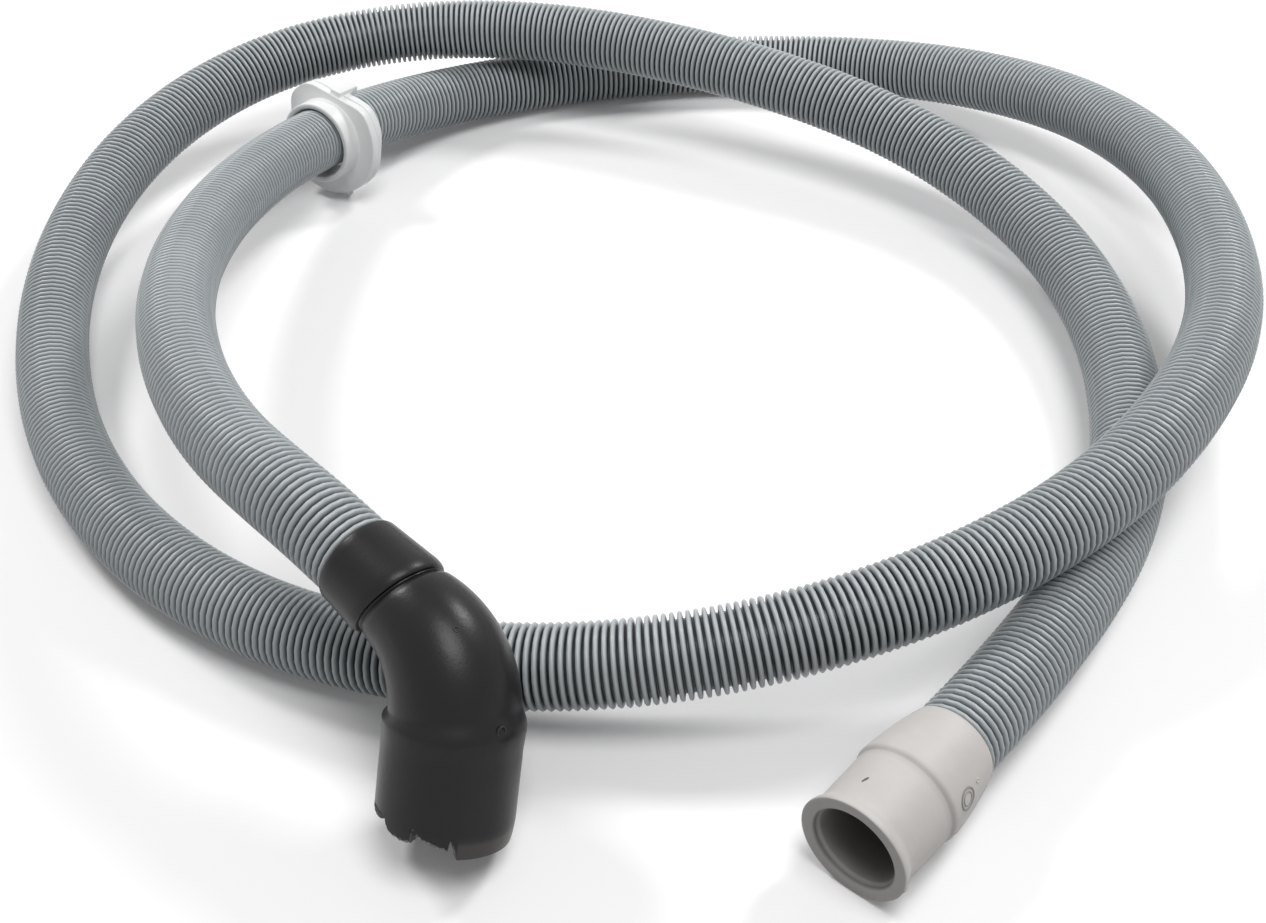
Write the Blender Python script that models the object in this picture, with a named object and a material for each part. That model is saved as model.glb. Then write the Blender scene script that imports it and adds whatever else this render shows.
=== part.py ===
# Dishwasher drain hose, 25 mm over its ribs, lying in a flat coil of about one and a half turns.
# A rubber elbow with a torn rim stands at one end, a rubber cuff lies at the other,
# and a plastic wall collar sits loose on the hose. Metres, +Z up, floor at Z = 0.
import math

import bmesh
import bpy
import numpy as np
from mathutils import Matrix, Vector

hoseRadius = 0.0125
spigotRadius = 0.0110
spigotLength = 0.0200
clearance = 0.0003

# Centre line of the hose, from the elbow's mouth to the cuff's mouth
hoseRoute = [
    (-0.0724, -0.1600, 0.0602), (-0.0843, -0.1482, 0.0631), (-0.1130, -0.1153, 0.0636),
    (-0.1388, -0.0633, 0.0600), (-0.150, -0.007, 0.053), (-0.148, 0.051, 0.044),
    (-0.135, 0.106, 0.034), (-0.109, 0.158, 0.023), (-0.068, 0.197, 0.015),
    (-0.013, 0.217, 0.013), (0.045, 0.224, 0.013), (0.102, 0.215, 0.016),
    (0.152, 0.186, 0.023), (0.188, 0.142, 0.031), (0.208, 0.088, 0.037),
    (0.211, 0.030, 0.041), (0.200, -0.027, 0.043), (0.173, -0.079, 0.044),
    (0.134, -0.121, 0.041), (0.083, -0.150, 0.035), (0.028, -0.163, 0.027),
    (-0.030, -0.162, 0.020), (-0.086, -0.146, 0.015), (-0.135, -0.116, 0.013),
    (-0.174, -0.072, 0.013), (-0.199, -0.020, 0.014), (-0.211, 0.037, 0.018),
    (-0.208, 0.095, 0.024), (-0.187, 0.148, 0.031), (-0.146, 0.188, 0.037),
    (-0.091, 0.206, 0.040), (-0.033, 0.201, 0.041), (0.021, 0.181, 0.040),
    (0.072, 0.153, 0.037), (0.119, 0.119, 0.030), (0.154, 0.073, 0.022),
    (0.170, 0.018, 0.018), (0.169, -0.040, 0.016), (0.1535, -0.0963, 0.0155),
    (0.1232, -0.1462, 0.0162), (0.0977, -0.1783, 0.0171), (0.0864, -0.1910, 0.0170),
]
hosePointCount = 72

# Elbow: a tapered sleeve on the hose, a bend that widens, and a socket
elbowStop = 0.0012
elbowSleeveLength = spigotLength + elbowStop
elbowSleeveRadii = (0.0134, 0.0143)
elbowTubeRadius = 0.0129
elbowTubeLength = 0.0025
elbowBendRadius = 0.0268
elbowBendAngle = math.radians(67.5)
elbowBendLean = math.radians(26.7)
elbowShoulderRadius = 0.0175
elbowShoulderLength = 0.0050
elbowSocketRadius = 0.0186
elbowSocketLength = 0.0306
elbowBoreRadius = 0.0145
elbowBoreDepth = 0.0235
elbowWall = 0.0028
elbowRimBand = 0.0135
# Torn rim: angle round the socket in degrees, and how much of its height is gone
elbowTear = [
    (-150, 0.0), (-141, 0.0004), (-139, 0.0032), (-137, 0.0048), (-135, 0.0063), (-133, 0.0035),
    (-129, 0.0034), (-124, 0.0040), (-119, 0.0044), (-115, 0.0049), (-111, 0.0055), (-107, 0.0062),
    (-104, 0.0076), (-101, 0.0038), (-93, 0.0035), (-83, 0.0040), (-77, 0.0044), (-74, 0.0062),
    (-71, 0.0076), (-62, 0.0080), (-48, 0.0078), (-41, 0.0070), (-35, 0.0040), (-29, 0.0012),
    (-24, 0.0),
]

# Cuff: a cone that grows from the hose, a step, and a body with a flared end
cuffBoreDepth = 0.0225
cuffWeb = 0.0032
cuffLength = spigotLength + cuffWeb + cuffBoreDepth
cuffConeLength = 0.0225
cuffMouthRadius = 0.0129
cuffConeRadius = 0.0161
cuffBodyRadii = (0.0153, 0.0150)
cuffRimRadius = 0.0163
cuffFlareLength = 0.0052
cuffBoreRadius = 0.0126
cuffWaterway = 0.0090

# Collar: a neck, a front plate and a back disc with flats, a latch and a foot
collarAlong = 0.3255
collarDrop = 0.0014
collarTilt = math.radians(5)
collarTiltAxis = math.radians(121)
collarBore = 0.0148
collarNeckRadius = 0.0177
collarNeckLength = 0.0078
collarPlateRadius = 0.0238
collarPlateThickness = 0.0036
collarDiscRadius = 0.0236
collarDiscThickness = 0.0039
collarPlateFlats = [(math.radians(77), 0.0193), (math.radians(180), 0.0163)]
collarDiscFlats = [(math.radians(77), 0.0196), (math.radians(180), 0.0192), (math.radians(-5), 0.0217)]
latchAngle = math.radians(76)
latchWidth = 0.0090
latchReach = 0.0238
latchThickness = 0.0026
footWidth = 0.0150
footReach = 0.0254
footThickness = 0.0030


def makeMaterial(name, colour, roughness):
    material = bpy.data.materials.new(name)
    material.use_nodes = True
    shader = material.node_tree.nodes["Principled BSDF"]
    shader.inputs["Base Color"].default_value = (*colour, 1.0)
    shader.inputs["Roughness"].default_value = roughness
    shader.inputs["Metallic"].default_value = 0.0
    return material


def smoothCurve(points):
    """Natural cubic through the points by chord length: returns a reader for place and tangent."""
    places = np.array(points)
    chords = np.linalg.norm(np.diff(places, axis=0), axis=1)
    knots = np.concatenate([[0.0], np.cumsum(chords)])
    count = len(places)
    system = np.eye(count)
    right = np.zeros((count, 3))
    for i in range(1, count - 1):
        system[i, i - 1 : i + 2] = chords[i - 1], 2 * (chords[i - 1] + chords[i]), chords[i]
        slopes = (places[i + 1] - places[i]) / chords[i] - (places[i] - places[i - 1]) / chords[i - 1]
        right[i] = 6 * slopes
    bends = np.linalg.solve(system, right)

    def read(knot):
        i = int(np.clip(np.searchsorted(knots, knot) - 1, 0, count - 2))
        span = chords[i]
        a = (knots[i + 1] - knot) / span
        b = 1 - a
        place = a * places[i] + b * places[i + 1]
        place = place + ((a**3 - a) * bends[i] + (b**3 - b) * bends[i + 1]) * span**2 / 6
        tangent = (places[i + 1] - places[i]) / span
        tangent = tangent + ((3 * b**2 - 1) * bends[i + 1] - (3 * a**2 - 1) * bends[i]) * span / 6
        return Vector(place), Vector(tangent).normalized()

    fine = [read(knot)[0] for knot in np.linspace(0, knots[-1], 2001)]
    lengths = [0.0]
    for before, after in zip(fine, fine[1:]):
        lengths.append(lengths[-1] + (after - before).length)

    def readAlong(distance):
        return read(float(np.interp(distance, lengths, np.linspace(0, knots[-1], 2001))))

    return readAlong, lengths[-1]


def ringOf(centre, across, up, radii, angles):
    return [centre + (across * math.cos(a) + up * math.sin(a)) * r for a, r in zip(angles, radii)]


def loftRings(name, rings, material):
    """One closed skin through rings that run down the outside and back up the bore."""
    mesh = bpy.data.meshes.new(name)
    shape = bmesh.new()
    loops = [[shape.verts.new(point) for point in ring] for ring in rings]
    for i, loop in enumerate(loops):
        following = loops[(i + 1) % len(loops)]
        for j in range(len(loop)):
            k = (j + 1) % len(loop)
            shape.faces.new((loop[j], loop[k], following[k], following[j]))
    bmesh.ops.recalc_face_normals(shape, faces=shape.faces)
    shape.to_mesh(mesh)
    shape.free()
    mesh.shade_smooth()
    mesh.set_sharp_from_angle(angle=math.radians(35))
    mesh.materials.append(material)
    made = bpy.data.objects.new(name, mesh)
    bpy.context.collection.objects.link(made)
    return made


def buildHose(readAlong, length, material):
    start, startWay = readAlong(0.0)
    end, endWay = readAlong(length)
    line = [(start - startWay * spigotLength, spigotRadius), (start + startWay * clearance, spigotRadius)]
    nearEnd = [clearance * 1.2, 0.0025]
    middle = np.linspace(0.012, length - 0.012, hosePointCount)
    for distance in [*nearEnd, *middle, length - nearEnd[1], length - nearEnd[0]]:
        line.append((readAlong(distance)[0], hoseRadius))
    line += [(end - endWay * clearance, spigotRadius), (end + endWay * spigotLength, spigotRadius)]
    curve = bpy.data.curves.new("drain_hose", "CURVE")
    curve.dimensions = "3D"
    curve.bevel_depth = 1.0
    curve.bevel_resolution = 4
    curve.use_fill_caps = True
    spline = curve.splines.new("POLY")
    spline.points.add(len(line) - 1)
    for point, (place, radius) in zip(spline.points, line):
        point.co = (*place, 1.0)
        point.radius = radius
    spline.use_smooth = True
    curve.materials.append(material)
    hose = bpy.data.objects.new("drain_hose", curve)
    bpy.context.collection.objects.link(hose)
    return hose


def buildElbow(mouth, way, material):
    level = way.cross(Vector((0, 0, 1))).normalized()
    if level.x > 0:
        level = -level
    down = way.cross(level).normalized()
    if down.z > 0:
        down = -down
    toward = down * math.cos(elbowBendLean) + level * math.sin(elbowBendLean)
    side = way.cross(toward).normalized()
    tear = dict(elbowTear)
    spread = list(np.arange(-18, 205, 6)) + list(tear)
    angles = [math.radians(float(a)) for a in sorted(set(spread))]
    lost = [tear.get(round(math.degrees(a)), 0.0) for a in angles]

    straight = elbowSleeveLength + elbowTubeLength
    bendLength = elbowBendRadius * elbowBendAngle
    socketWay = way * math.cos(elbowBendAngle) + toward * math.sin(elbowBendAngle)
    pivot = mouth + way * straight + toward * elbowBendRadius

    def station(distance):
        if distance <= straight:
            return mouth + way * distance, way
        turn = min((distance - straight) / elbowBendRadius, elbowBendAngle)
        tangent = way * math.cos(turn) + toward * math.sin(turn)
        centre = pivot - toward * math.cos(turn) * elbowBendRadius + way * math.sin(turn) * elbowBendRadius
        return centre + tangent * max(distance - straight - bendLength, 0.0), tangent

    def ring(distance, radius, torn=False):
        centre, tangent = station(distance)
        points = ringOf(centre, side.cross(tangent), side, [radius] * len(angles), angles)
        if torn:
            points = [point - socketWay * gone for point, gone in zip(points, lost)]
        return points

    shoulder = straight + bendLength
    rim = shoulder + elbowSocketLength
    boreEnd = rim - elbowBoreDepth
    sleeveStart, sleeveEnd = elbowSleeveRadii
    outer = [
        ring(0.0, sleeveStart - 0.0009),
        ring(0.0009, sleeveStart),
        ring(elbowSleeveLength - 0.0006, sleeveEnd),
        ring(elbowSleeveLength, sleeveEnd - 0.0005),
        ring(elbowSleeveLength + 0.0002, elbowTubeRadius + 0.0002),
        ring(straight, elbowTubeRadius),
    ]
    inner = []
    steps = 9
    for step in range(1, steps + 1):
        part = step / steps
        radius = elbowTubeRadius + (elbowShoulderRadius - elbowTubeRadius) * part
        outer.append(ring(straight + bendLength * part, radius))
        inner.append(ring(straight + bendLength * part, radius - elbowWall))
    outer += [
        ring(shoulder + elbowShoulderLength, elbowSocketRadius),
        ring(rim - elbowRimBand, elbowSocketRadius),
        ring(rim, elbowSocketRadius, torn=True),
        ring(rim, elbowBoreRadius, torn=True),
        ring(rim - elbowRimBand, elbowBoreRadius),
        ring(boreEnd, elbowBoreRadius),
        ring(boreEnd, elbowShoulderRadius - elbowWall),
    ]
    inner.reverse()
    outer += inner[1:]
    outer += [
        ring(spigotLength + 0.0008, elbowTubeRadius - elbowWall),
        ring(spigotLength + 0.0006, spigotRadius + clearance),
        ring(0.0, spigotRadius + clearance),
    ]
    return loftRings("elbow_boot", outer, material)


def buildCuff(mouth, way, material):
    up = Vector((0, 0, 1)) - way * way.z
    up.normalize()
    angles = [math.tau * i / 48 for i in range(48)]
    flare = cuffLength - cuffFlareLength
    profile = [
        (0.0, cuffMouthRadius - 0.0007),
        (0.0007, cuffMouthRadius),
        (cuffConeLength * 0.55, cuffMouthRadius + (cuffConeRadius - cuffMouthRadius) * 0.72),
        (cuffConeLength - 0.0010, cuffConeRadius),
        (cuffConeLength, cuffConeRadius - 0.0002),
        (cuffConeLength + 0.0010, cuffBodyRadii[0] + 0.0001),
        (cuffConeLength + 0.0020, cuffBodyRadii[0]),
        (flare, cuffBodyRadii[1]),
        (flare + cuffFlareLength * 0.45, cuffBodyRadii[1] + 0.0006),
        (flare + cuffFlareLength * 0.80, cuffRimRadius - 0.0001),
        (cuffLength - 0.0003, cuffRimRadius),
        (cuffLength, cuffRimRadius - 0.0003),
        (cuffLength, cuffBoreRadius + 0.0004),
        (cuffLength - 0.0004, cuffBoreRadius),
        (cuffLength - 0.0028, cuffBoreRadius),
        (cuffLength - 0.0036, cuffBoreRadius - 0.0006),
        (cuffLength - cuffBoreDepth, cuffBoreRadius - 0.0006),
        (cuffLength - cuffBoreDepth, cuffWaterway),
        (spigotLength + 0.0006, cuffWaterway),
        (spigotLength + 0.0006, spigotRadius + clearance),
        (0.0, spigotRadius + clearance),
    ]
    rings = [ringOf(mouth + way * s, up.cross(way), up, [r] * 48, angles) for s, r in profile]
    return loftRings("end_cuff", rings, material)


def addBlock(name, matrix, low, high, bevel):
    """A rounded block between two corners, used as the tool of a Boolean union."""
    mesh = bpy.data.meshes.new(name)
    shape = bmesh.new()
    bmesh.ops.create_cube(shape, size=1.0)
    low, high = Vector(low), Vector(high)
    for vert in shape.verts:
        share = vert.co + Vector((0.5, 0.5, 0.5))
        vert.co = Vector(low[i] + (high[i] - low[i]) * share[i] for i in range(3))
    bmesh.ops.bevel(shape, geom=shape.edges, offset=bevel, segments=2, profile=0.5, affect="EDGES")
    shape.to_mesh(mesh)
    shape.free()
    block = bpy.data.objects.new(name, mesh)
    block.matrix_world = matrix
    block.hide_render = True
    block.display_type = "WIRE"
    bpy.context.collection.objects.link(block)
    return block


def flattened(radius, flats, angles):
    """Radii of a round outline that is cut by flats, never inside the neck."""
    radii = []
    for angle in angles:
        reach = radius
        for flatAngle, flatReach in flats:
            facing = math.cos(angle - flatAngle)
            if facing > 0.2:
                reach = min(reach, flatReach / facing)
        radii.append(max(reach, collarNeckRadius + 0.0004))
    return radii


def buildCollar(centre, way, material):
    up = Vector((0, 0, 1)) - way * way.z
    up.normalize()
    across = up.cross(-way)
    turned = Matrix.Rotation(-collarTilt, 3, across * math.cos(collarTiltAxis) + up * math.sin(collarTiltAxis))
    way = (turned @ way).normalized()
    up = (Vector((0, 0, 1)) - way * way.z).normalized()
    across = up.cross(-way)
    centre = centre - Vector((0, 0, collarDrop))
    count = 72
    angles = [math.tau * i / count for i in range(count)]
    plate = flattened(collarPlateRadius, collarPlateFlats, angles)
    disc = flattened(collarDiscRadius, collarDiscFlats, angles)
    plateBack = collarPlateThickness
    discBack = plateBack + collarDiscThickness

    def ring(distance, radii, inset=0.0):
        if isinstance(radii, float):
            radii = [radii] * count
        radii = [radius - inset for radius in radii]
        return ringOf(centre + way * distance, across, up, radii, angles)

    rings = [
        ring(-collarNeckLength, collarBore + 0.0006),
        ring(-collarNeckLength, collarNeckRadius - 0.0008),
        ring(-collarNeckLength + 0.0008, collarNeckRadius),
        ring(0.0, collarNeckRadius),
        ring(0.0, plate, inset=0.0002),
        ring(0.0004, plate),
        ring(plateBack, plate),
        ring(plateBack + 0.0003, disc),
        ring(discBack - 0.0004, disc),
        ring(discBack, disc, inset=0.0004),
        ring(discBack, collarBore),
        ring(-collarNeckLength + 0.0006, collarBore),
    ]
    collar = loftRings("hose_collar", rings, material)

    pose = Matrix((across, up, -way)).transposed().to_4x4()
    pose.translation = centre
    latchPose = pose @ Matrix.Rotation(latchAngle - math.pi / 2, 4, "Z")
    latch = addBlock(
        "latch_tool",
        latchPose,
        (-latchWidth / 2, collarNeckRadius, -discBack - latchThickness),
        (latchWidth / 2, latchReach, -discBack + 0.0012),
        0.0006,
    )
    foot = addBlock(
        "foot_tool",
        pose,
        (-footWidth / 2, -footReach, -discBack + 0.0004),
        (footWidth / 2, -collarNeckRadius, -discBack + 0.0004 + footThickness),
        0.0005,
    )
    for tool in (latch, foot):
        union = collar.modifiers.new(tool.name, "BOOLEAN")
        union.operation = "UNION"
        union.solver = "EXACT"
        union.object = tool
    return collar


def main():
    for old in list(bpy.data.objects):
        bpy.data.objects.remove(old)
    bpy.context.scene.unit_settings.system = "METRIC"
    greyPlastic = makeMaterial("hose_plastic", (0.30, 0.33, 0.345), 0.42)
    blackRubber = makeMaterial("elbow_rubber", (0.018, 0.017, 0.019), 0.48)
    greyRubber = makeMaterial("cuff_rubber", (0.52, 0.50, 0.48), 0.55)
    whitePlastic = makeMaterial("collar_plastic", (0.66, 0.68, 0.68), 0.40)

    readAlong, length = smoothCurve(hoseRoute)
    start, startWay = readAlong(0.0)
    end, endWay = readAlong(length)
    collarPlace, collarWay = readAlong(collarAlong)
    buildHose(readAlong, length, greyPlastic)
    buildElbow(start, -startWay, blackRubber)
    buildCuff(end, endWay, greyRubber)
    buildCollar(collarPlace, collarWay, whitePlastic)
    print("hose length between the fittings: %.3f m" % length)


main()
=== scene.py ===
import math

import bmesh
import bpy
import numpy as np
from mathutils import Matrix, Vector


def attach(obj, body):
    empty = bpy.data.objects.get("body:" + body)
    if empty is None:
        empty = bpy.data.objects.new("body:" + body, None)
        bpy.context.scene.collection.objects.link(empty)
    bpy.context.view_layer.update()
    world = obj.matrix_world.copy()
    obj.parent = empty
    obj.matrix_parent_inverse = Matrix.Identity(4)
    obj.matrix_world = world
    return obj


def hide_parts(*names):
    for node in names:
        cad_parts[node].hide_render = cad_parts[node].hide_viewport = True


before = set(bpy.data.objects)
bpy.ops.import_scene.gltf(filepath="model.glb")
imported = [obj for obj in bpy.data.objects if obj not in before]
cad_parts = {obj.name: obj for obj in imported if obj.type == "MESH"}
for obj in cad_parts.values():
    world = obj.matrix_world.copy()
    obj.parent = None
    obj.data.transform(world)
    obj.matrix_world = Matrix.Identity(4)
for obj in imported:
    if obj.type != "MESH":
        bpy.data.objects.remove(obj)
scene = bpy.context.scene
scene.view_settings.view_transform = "Standard"
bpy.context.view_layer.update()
print("frame loaded")


def addNode(tree, kind, **values):
    node = tree.nodes.new(kind)
    for name, value in values.items():
        if hasattr(node, name):
            setattr(node, name, value)
        else:
            node.inputs[name].default_value = value
    return node


def newMaterial(name):
    material = bpy.data.materials.new(name)
    material.use_nodes = True
    tree = material.node_tree
    return material, tree, tree.nodes["Principled BSDF"]


# Fills inputs in order: a socket is linked, a plain value is written
def feed(tree, inputs, values):
    for socket, value in zip(inputs, values):
        if isinstance(value, bpy.types.NodeSocket):
            tree.links.new(value, socket)
        else:
            socket.default_value = value


def mixColours(tree, factor, first, second):
    mix = addNode(tree, "ShaderNodeMix", data_type="RGBA")
    colours = [(*value, 1.0) if isinstance(value, tuple) else value for value in (first, second)]
    feed(tree, (mix.inputs[0], mix.inputs[6], mix.inputs[7]), (factor, *colours))
    return mix.outputs[2]


# Maps a value from one range to the range low to high
def spreadRange(tree, value, low, high, source=(0.0, 1.0)):
    spread = addNode(tree, "ShaderNodeMapRange")
    names = ("Value", "From Min", "From Max", "To Min", "To Max")
    feed(tree, [spread.inputs[name] for name in names], (value, *source, low, high))
    return spread.outputs["Result"]


# size is the distance between the noise's lumps
def noiseOn(tree, coordinate, size, detail=3.0, roughness=0.55):
    noise = addNode(tree, "ShaderNodeTexNoise", Scale=1.0 / size, Detail=detail, Roughness=roughness)
    tree.links.new(coordinate, noise.inputs["Vector"])
    return noise.outputs["Fac"]


def bumpFrom(tree, height, strength, distance, before=None):
    bump = addNode(tree, "ShaderNodeBump", Strength=strength, Distance=distance)
    tree.links.new(height, bump.inputs["Height"])
    if before:
        tree.links.new(before, bump.inputs["Normal"])
    return bump.outputs["Normal"]


# A closed skin through rings, the last one joined to the first; the share of the third colour, for wearing
# and for painted light, is given for each ring or vertex
def loftRings(name, rings, material, wearAndPaintedLight=None):
    shape = bmesh.new()
    layer = shape.verts.layers.float.new("wearAndPaintedLight")
    loops = [[shape.verts.new(point) for point in ring] for ring in rings]
    for i, loop in enumerate(loops):
        given = wearAndPaintedLight[i] if wearAndPaintedLight else 0.0
        for j, vert in enumerate(loop):
            vert[layer] = given[j] if hasattr(given, "__len__") else given
        following = loops[(i + 1) % len(loops)]
        for j in range(len(loop)):
            k = (j + 1) % len(loop)
            shape.faces.new((loop[j], loop[k], following[k], following[j]))
    bmesh.ops.recalc_face_normals(shape, faces=shape.faces)
    mesh = bpy.data.meshes.new(name)
    shape.to_mesh(mesh)
    shape.free()
    mesh.shade_smooth()
    mesh.materials.append(material)
    made = bpy.data.objects.new(name, mesh)
    scene.collection.objects.link(made)
    return made


def ringOf(centre, across, up, radii, angles):
    if isinstance(radii, float):
        radii = [radii] * len(angles)
    return [centre + (across * math.cos(a) + up * math.sin(a)) * r for a, r in zip(angles, radii)]


# A share from 0 to 1 that starts and ends gently
def eased(share):
    return share * share * (3 - 2 * share)


# A thin bead along a closed loop of (place, outward way)
def beadAlong(name, loop, thickness, material, wearAndPaintedLight):
    count, sides = len(loop), 8
    turns = [math.tau * k / sides for k in range(sides)]
    rings = []
    for i, (place, outward) in enumerate(loop):
        tangent = (loop[(i + 1) % count][0] - loop[i - 1][0]).normalized()
        across = outward.cross(tangent).normalized()
        rings.append(ringOf(place, outward, across, thickness, turns))
    return loftRings(name, rings, material, [wearAndPaintedLight] * count)


# Adds the meshes of small parts to a piece and removes the parts
def takeIn(piece, parts):
    shape = bmesh.new()
    shape.from_mesh(piece.data)
    for part in parts:
        shape.from_mesh(part.data)
        bpy.data.objects.remove(part)
    shape.to_mesh(piece.data)
    shape.free()


# The evaluated shape as a plain mesh, with the modifiers gone
def applied(thing):
    graph = bpy.context.evaluated_depsgraph_get()
    mesh = bpy.data.meshes.new_from_object(thing.evaluated_get(graph), depsgraph=graph)
    plain = bpy.data.objects.new(thing.name + "_plain", mesh)
    scene.collection.objects.link(plain)
    name = thing.name
    bpy.data.objects.remove(thing)
    plain.name = name
    return plain


camera = {
    "place": (0.00176, -0.49624, 0.3675),
    "down": 39.3,
    "roll": -1.0,
    "focalPixels": 1700.0,
    "imageWidth": 1266.0,
}
lens = bpy.data.cameras.new("camera")
lens.sensor_width = 36.0
lens.sensor_fit = "HORIZONTAL"
lens.lens = camera["focalPixels"] / camera["imageWidth"] * lens.sensor_width
lens.clip_start = 0.01
eye = bpy.data.objects.new("camera", lens)
eye.matrix_world = (
    Matrix.Translation(camera["place"])
    @ Matrix.Rotation(math.radians(90.0 - camera["down"]), 4, "X")
    @ Matrix.Rotation(math.radians(camera["roll"]), 4, "Z")
)
scene.collection.objects.link(eye)
scene.camera = eye
print("camera set")


hose = {
    "radius": 0.01262,
    "ribPitch": 0.00238,
    "ribHeight": 0.0022,
    "bottomShare": 0.25,
    "grooveShare": 0.49,
    "shoulderDrop": 0.16,
    "sidesAround": 20,
    "endLength": 0.0200,
    "endRadius": 0.0110,
    "clearance": 0.0003,
    "boreRadius": 0.0094,
    "boreDepth": 0.045,
    "boreSteps": 6,
    "guideStep": 0.0012,
    "sharpAngle": 75.0,
}
# Centre line from the elbow's mouth to the cuff's mouth
hoseRoute = [
    (-0.0724, -0.1600, 0.0602), (-0.0843, -0.1482, 0.0631), (-0.1130, -0.1153, 0.0636),
    (-0.1388, -0.0633, 0.0600), (-0.150, -0.007, 0.053), (-0.148, 0.051, 0.044),
    (-0.135, 0.106, 0.034), (-0.109, 0.158, 0.023), (-0.068, 0.197, 0.015),
    (-0.013, 0.217, 0.013), (0.045, 0.224, 0.013), (0.102, 0.215, 0.016),
    (0.152, 0.186, 0.023), (0.188, 0.142, 0.031), (0.208, 0.088, 0.037),
    (0.211, 0.030, 0.041), (0.200, -0.027, 0.043), (0.173, -0.079, 0.044),
    (0.134, -0.121, 0.041), (0.083, -0.150, 0.035), (0.028, -0.163, 0.027),
    (-0.030, -0.162, 0.020), (-0.086, -0.146, 0.015), (-0.135, -0.116, 0.013),
    (-0.174, -0.072, 0.013), (-0.199, -0.020, 0.014), (-0.211, 0.037, 0.018),
    (-0.208, 0.095, 0.024), (-0.187, 0.148, 0.031), (-0.146, 0.188, 0.037),
    (-0.091, 0.206, 0.040), (-0.033, 0.201, 0.041), (0.021, 0.181, 0.040),
    (0.072, 0.153, 0.037), (0.119, 0.119, 0.030), (0.154, 0.073, 0.022),
    (0.170, 0.018, 0.018), (0.169, -0.040, 0.016), (0.1535, -0.0963, 0.0155),
    (0.1232, -0.1462, 0.0162), (0.0977, -0.1783, 0.0171), (0.0864, -0.1910, 0.0170),
]


# Natural cubic through the points: a reader for place and tangent by distance, and the length
def smoothCurve(points):
    places = np.array(points)
    chords = np.linalg.norm(np.diff(places, axis=0), axis=1)
    knots = np.concatenate([[0.0], np.cumsum(chords)])
    count = len(places)
    system = np.eye(count)
    right = np.zeros((count, 3))
    for i in range(1, count - 1):
        system[i, i - 1 : i + 2] = chords[i - 1], 2 * (chords[i - 1] + chords[i]), chords[i]
        slopes = (places[i + 1] - places[i]) / chords[i] - (places[i] - places[i - 1]) / chords[i - 1]
        right[i] = 6 * slopes
    bends = np.linalg.solve(system, right)

    def read(knot):
        i = int(np.clip(np.searchsorted(knots, knot) - 1, 0, count - 2))
        span = chords[i]
        a = (knots[i + 1] - knot) / span
        b = 1 - a
        place = a * places[i] + b * places[i + 1]
        place = place + ((a**3 - a) * bends[i] + (b**3 - b) * bends[i + 1]) * span**2 / 6
        tangent = (places[i + 1] - places[i]) / span
        tangent = tangent + ((3 * b**2 - 1) * bends[i + 1] - (3 * a**2 - 1) * bends[i]) * span / 6
        return Vector(place), Vector(tangent).normalized()

    samples = np.linspace(0, knots[-1], 4001)
    fine = [read(knot)[0] for knot in samples]
    lengths = [0.0]
    for before, after in zip(fine, fine[1:]):
        lengths.append(lengths[-1] + (after - before).length)

    def readAlong(distance):
        return read(float(np.interp(distance, lengths, samples)))

    return readAlong, lengths[-1]


readAlong, visibleLength = smoothCurve(hoseRoute)


# Place and tangent, with straight ends inside the two fittings
def hosePoint(distance):
    inside = min(max(distance, 0.0), visibleLength)
    place, tangent = readAlong(inside)
    return place + tangent * (distance - inside), tangent


hoseStart, hoseEnd = -hose["endLength"], visibleLength + hose["endLength"]


def pointsAlongHose(count):
    return [hosePoint(float(distance))[0] for distance in np.linspace(hoseStart, hoseEnd, count)]


print("hose route %.3f m between the fittings" % visibleLength)


hoseFinish = {
    "ridge": (0.425, 0.462, 0.478),
    "ridgePale": (0.500, 0.540, 0.556),
    # Painted shade: the near-black colour that the grooves between the ribs take with their depth
    "grooveDepthAndShade": (0.010, 0.012, 0.016),
    "grooveBite": 0.75,
    "roughness": (0.28, 0.40),
    "specular": 0.42,
    "patchSize": 0.035,
    "patchSpread": (-0.4, 1.4),
    "grainSize": 0.0016,
    "bump": 0.25,
    "bumpHeight": 0.00012,
}
elbowFinish = {
    "pale": (0.0060, 0.0052, 0.0062),
    "dark": (0.0030, 0.0025, 0.0032),
    # The torn rubber's own colour, also painted as bounce light from the floor on the intact rim
    "wornAndPaintedLight": (0.080, 0.074, 0.069),
    "roughness": (0.29, 0.38),
    "specular": 0.29,
    "patchSize": 0.018,
    "grainSize": 0.0007,
    "bump": 0.18,
}
cuffFinish = {
    "pale": (0.595, 0.572, 0.552),
    "dark": (0.535, 0.512, 0.492),
    # The dark third colour: painted shade on the step's band and along the nick, and it darkens the rim's
    # edge, the lip and the bore
    "wornAndPaintedLight": (0.150, 0.140, 0.131),
    "roughness": (0.44, 0.58),
    "specular": 0.35,
    "patchSize": 0.014,
    "grainSize": 0.0008,
    "bump": 0.20,
}
collarFinish = {
    "pale": (0.850, 0.862, 0.856),
    "dark": (0.780, 0.794, 0.792),
    "wornAndPaintedLight": (0.330, 0.335, 0.335),
    "roughness": (0.32, 0.45),
    "specular": 0.42,
    "patchSize": 0.012,
    "grainSize": 0.0006,
    "bump": 0.15,
}
# Shared by the rubbers and the white plastic: how far the noises spread the colour, and the bumps' heights
grainFinish = {
    "patchSpread": (-0.3, 1.3),
    "grainSpread": (-0.15, 0.35),
    "coarserBy": 4.0,
    "coarseBump": 0.6,
    "coarseHeight": 0.0004,
    "fineHeight": 0.0001,
}
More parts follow.
